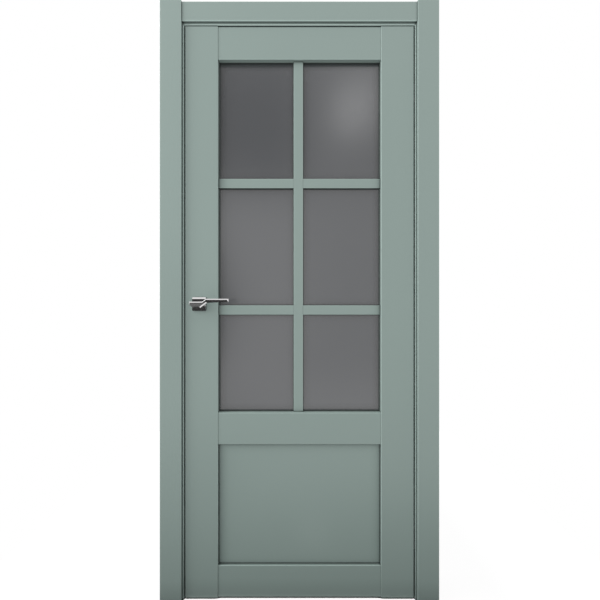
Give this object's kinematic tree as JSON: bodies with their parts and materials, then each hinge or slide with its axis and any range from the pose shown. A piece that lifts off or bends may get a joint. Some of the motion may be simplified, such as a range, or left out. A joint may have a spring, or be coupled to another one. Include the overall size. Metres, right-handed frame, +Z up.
{
  "type": "interior door with frame",
  "caption": "Painted interior door hung in its own frame: a framed leaf with a grid of grey glass panes over a flat panel, a stepped lever handle and concealed hinges.",
  "frame": {"origin": "on the floor, in the middle of the doorway and of the closed leaf's thickness", "axes": "+Z up, +X from the lock side to the hinge side, -Y the side that the leaf opens to"},
  "size_m": [0.968, 0.15, 2.0895],
  "materials": {
    "paint": "satin grey-green paint on board",
    "glass": "satin grey glass",
    "gasket": "matt",
    "seal": "matt",
    "chrome": "polished",
    "steel": "satin",
    "magnet": "plain",
    "plastic": "moulded",
    "dowel": "plain beech"
  },
  "bodies": {
    "frame": {"jamb_lock_side": "paint", "jamb_hinge_side": "paint", "jamb_head": "paint", "seal_lock_side": "seal", "seal_hinge_side": "seal", "seal_head": "seal", "architrave_front_lock_side": "paint", "architrave_front_hinge_side": "paint", "architrave_front_head": "paint", "architrave_rear_lock_side": "paint", "architrave_rear_hinge_side": "paint", "architrave_rear_head": "paint", "strike_plate": "steel", "strike_box": "plastic", "strike_magnet": "magnet", "strike_screws": "steel", "frame_screws": "steel", "hinge_jamb_cup_upper": "steel", "hinge_jamb_cup_lower": "steel", "hinge_jamb_screws": "steel"},
    "hinge_arms": {"hinge_arm_upper": "steel", "hinge_arm_lower": "steel"},
    "leaf": {"lock_stile": "paint", "hinge_stile": "paint", "top_rail": "paint", "lock_rail": "paint", "bottom_rail": "paint", "lower_panel": "paint", "mullion": "paint", "bar_upper_lock_side": "paint", "bar_upper_hinge_side": "paint", "bar_lower_lock_side": "paint", "bar_lower_hinge_side": "paint", "pane_top_lock_side": "glass", "pane_top_hinge_side": "glass", "pane_middle_lock_side": "glass", "pane_middle_hinge_side": "glass", "pane_bottom_lock_side": "glass", "pane_bottom_hinge_side": "glass", "pane_gaskets": "gasket", "rail_dowels": "dowel", "hinge_leaf_cup_upper": "steel", "hinge_leaf_cup_lower": "steel", "hinge_leaf_screws": "steel", "lock_case": "steel", "lock_faceplate": "steel", "lock_screws": "steel", "rosette_front": "chrome", "rosette_rear": "chrome", "rosette_base_front": "plastic", "rosette_base_rear": "plastic", "handle_bolts": "steel"},
    "handle": {"lever_front": "chrome", "lever_rear": "chrome", "spindle": "steel", "follower": "steel", "grub_screws": "steel"},
    "latch": {"latch_bolt": "chrome"}
  },
  "joints": [
    {"name": "leaf_swing", "type": "hinge", "parent": "frame", "child": "leaf", "pos_m": [0.402, -0.02, 1.008], "axis": [0, 0, 1], "range_deg": [0, 100]},
    {"name": "hinge_arm_turn", "type": "hinge", "parent": "frame", "child": "hinge_arms", "pos_m": [0.402, -0.02, 1.008], "axis": [0, 0, 1], "range_deg": [0, 50]},
    {"name": "handle_turn", "type": "hinge", "parent": "leaf", "child": "handle", "pos_m": [-0.349, 0, 1.036], "axis": [0, 1, 0], "range_deg": [0, 40], "stiffness_Nm_per_rad": 1, "springref_deg": -34.38},
    {"name": "latch_slide", "type": "slide", "parent": "leaf", "child": "latch", "axis": [-1, 0, 0], "range_m": [0, 0.01], "stiffness_N_per_m": 20, "springref_m": -0.005}
  ],
  "couplings": [
    {"joint": "hinge_arm_turn", "follows": "leaf_swing", "ratio": 0.5}
  ]
}
